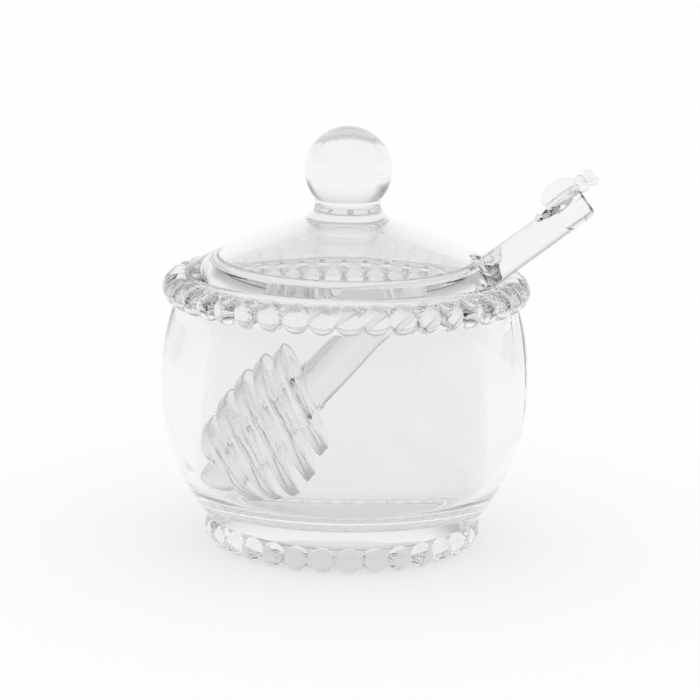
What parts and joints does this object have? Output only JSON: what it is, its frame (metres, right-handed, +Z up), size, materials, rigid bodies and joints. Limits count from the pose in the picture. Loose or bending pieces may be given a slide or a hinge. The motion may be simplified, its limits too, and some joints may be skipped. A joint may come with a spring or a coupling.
{
  "type": "honey pot",
  "caption": "Clear pressed glass honey pot with beaded rim and foot, domed lid with ball knob and a glass dipper through a notch.",
  "frame": {"origin": "on the axis of the pot, in the plane of the foot's flat underside", "axes": "+Z up along the pot's axis; +X towards the side where the dipper leaves the pot; -Y towards the side with the lid's notch and the pad on the dipper"},
  "size_m": [0.1282, 0.1102, 0.1249],
  "materials": {
    "pot_glass": "clear pressed glass, fire polished",
    "lid_glass": "clear pressed glass, fire polished",
    "dipper_glass": "clear pressed glass, slightly wavy"
  },
  "bodies": {
    "root": {"pot": "pot_glass", "lid": "lid_glass", "dipper": "dipper_glass"}
  },
  "joints": []
}
